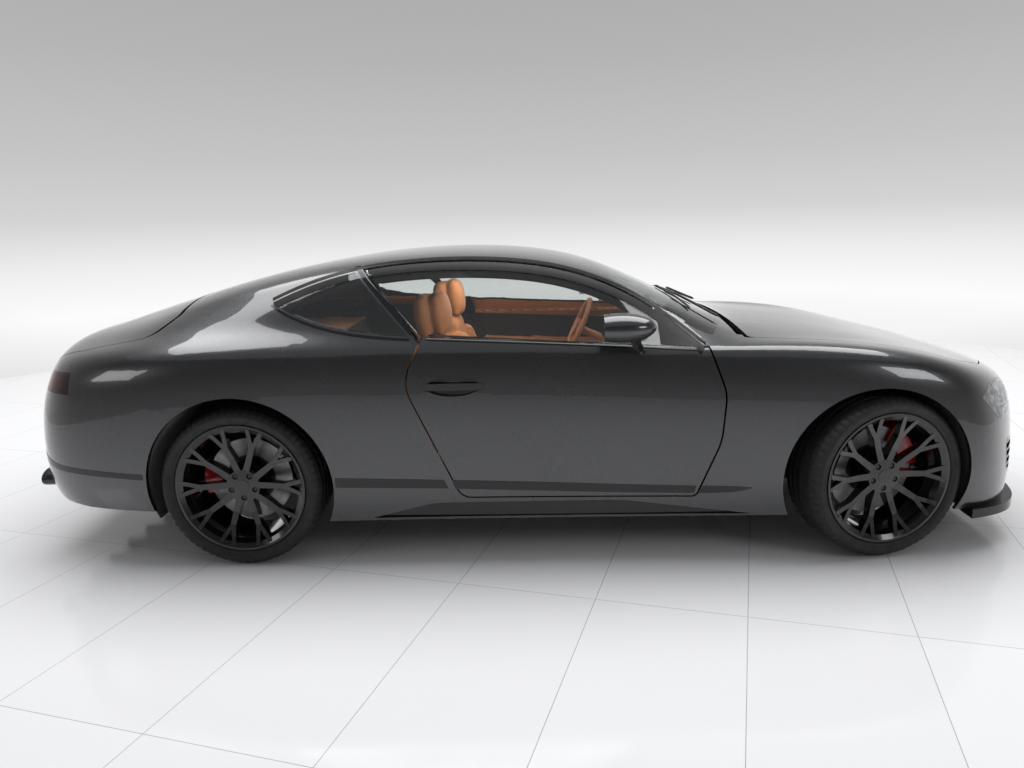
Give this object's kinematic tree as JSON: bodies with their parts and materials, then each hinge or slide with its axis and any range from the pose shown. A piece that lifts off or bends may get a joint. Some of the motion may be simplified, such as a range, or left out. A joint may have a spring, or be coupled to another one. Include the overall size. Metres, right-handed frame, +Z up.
{
  "type": "coupe car",
  "caption": "Two-door fastback grand touring coupe with long bonnet, dark wheels, opening doors, bonnet and boot lid, and a leather cabin.",
  "frame": {"origin": "on the ground under the middle of the bounding box", "axes": "+X forwards, +Y to the car's left, +Z up"},
  "size_m": [4.8482, 2.1444, 1.3893],
  "materials": {
    "paint": "dark graphite metallic, high gloss",
    "glass": "tinted, polished",
    "clear_glass": "clear, polished",
    "red_glass": "deep red, polished",
    "black_gloss": "black, high gloss",
    "black_matte": "black, fine grain",
    "wheel_black": "black gloss lacquer",
    "tyre": "black rubber",
    "disc": "turned grey iron",
    "caliper": "red lacquer",
    "frame_metal": "dark coated steel",
    "cast": "cast aluminium",
    "leather": "tan leather",
    "dark_leather": "black leather",
    "exhaust": "dark stainless steel"
  },
  "bodies": {
    "shell": {"body_side_right": "paint", "body_side_left": "paint", "roof_panel": "paint", "front_wings": "paint", "front_bumper": "paint", "rear_bumper": "paint", "windscreen": "glass", "rear_window": "glass", "quarter_windows": "glass", "headlamp_lenses": "clear_glass", "headlamp_units": "black_gloss", "tail_lamp_lenses": "red_glass", "tail_lamp_units": "black_gloss", "grille": "black_gloss", "lower_trim": "black_gloss", "exhaust": "exhaust", "floor_pan": "black_matte", "tunnel": "black_matte", "rear_floor": "black_matte", "seat_rails": "frame_metal", "scuttle_tray": "black_matte", "scuttle_wall": "black_matte", "rear_shelf": "leather", "wheel_liners": "black_matte", "front_frame": "frame_metal", "engine_block": "cast", "radiator_panel": "black_matte", "rear_frame": "frame_metal", "dashboard": "dark_leather", "steering_wheel": "dark_leather", "centre_console": "dark_leather", "front_seats": "leather", "rear_seats": "leather", "rear_calipers": "caliper"},
    "bonnet": {"bonnet": "paint"},
    "boot_lid": {"boot_lid": "paint"},
    "door_right": {"door_right": "paint", "door_glass_right": "glass", "mirror_right": "paint", "handle_right": "paint"},
    "steering_right": {"knuckle_front_right": "cast", "caliper_front_right": "caliper"},
    "wheel_front_right": {"rim_front_right": "wheel_black", "tyre_front_right": "tyre", "disc_front_right": "disc"},
    "wheel_rear_right": {"rim_rear_right": "wheel_black", "tyre_rear_right": "tyre", "disc_rear_right": "disc"},
    "door_left": {"door_left": "paint", "door_glass_left": "glass", "mirror_left": "paint", "handle_left": "paint"},
    "steering_left": {"knuckle_front_left": "cast", "caliper_front_left": "caliper"},
    "wheel_front_left": {"rim_front_left": "wheel_black", "tyre_front_left": "tyre", "disc_front_left": "disc"},
    "wheel_rear_left": {"rim_rear_left": "wheel_black", "tyre_rear_left": "tyre", "disc_rear_left": "disc"}
  },
  "joints": [
    {"name": "door_right_hinge", "type": "hinge", "parent": "shell", "child": "door_right", "pos_m": [0.782, -0.94, 0.675], "axis": [0, 0, 1], "range_deg": [0, 62]},
    {"name": "door_left_hinge", "type": "hinge", "parent": "shell", "child": "door_left", "pos_m": [0.782, 0.94, 0.675], "axis": [0, 0, -1], "range_deg": [0, 62]},
    {"name": "bonnet_hinge", "type": "hinge", "parent": "shell", "child": "bonnet", "pos_m": [1.022, 0, 0.962], "axis": [0, -1, 0], "range_deg": [0, 55]},
    {"name": "boot_hinge", "type": "hinge", "parent": "shell", "child": "boot_lid", "pos_m": [-1.652, 0, 1.18], "axis": [0, 1, 0], "range_deg": [0, 70]},
    {"name": "steer_right", "type": "hinge", "parent": "shell", "child": "steering_right", "pos_m": [1.545, -0.736, 0.37], "axis": [0, 0, 1], "range_deg": [-47, 23]},
    {"name": "steer_left", "type": "hinge", "parent": "shell", "child": "steering_left", "pos_m": [1.545, 0.736, 0.37], "axis": [0, 0, 1], "range_deg": [-47, 23]},
    {"name": "wheel_front_right_spin", "type": "hinge", "parent": "steering_right", "child": "wheel_front_right", "pos_m": [1.56413, -0.82599, 0.37], "axis": [-0.2079, 0.9781, 0], "continuous": true},
    {"name": "wheel_rear_right_spin", "type": "hinge", "parent": "shell", "child": "wheel_rear_right", "pos_m": [-1.306, -0.812, 0.37], "axis": [0, 1, 0], "continuous": true},
    {"name": "wheel_front_left_spin", "type": "hinge", "parent": "steering_left", "child": "wheel_front_left", "pos_m": [1.52587, 0.82599, 0.37], "axis": [-0.2079, 0.9781, 0], "continuous": true},
    {"name": "wheel_rear_left_spin", "type": "hinge", "parent": "shell", "child": "wheel_rear_left", "pos_m": [-1.306, 0.812, 0.37], "axis": [0, 1, 0], "continuous": true}
  ],
  "couplings": [
    {"joint": "steer_left", "follows": "steer_right", "ratio": 1}
  ]
}
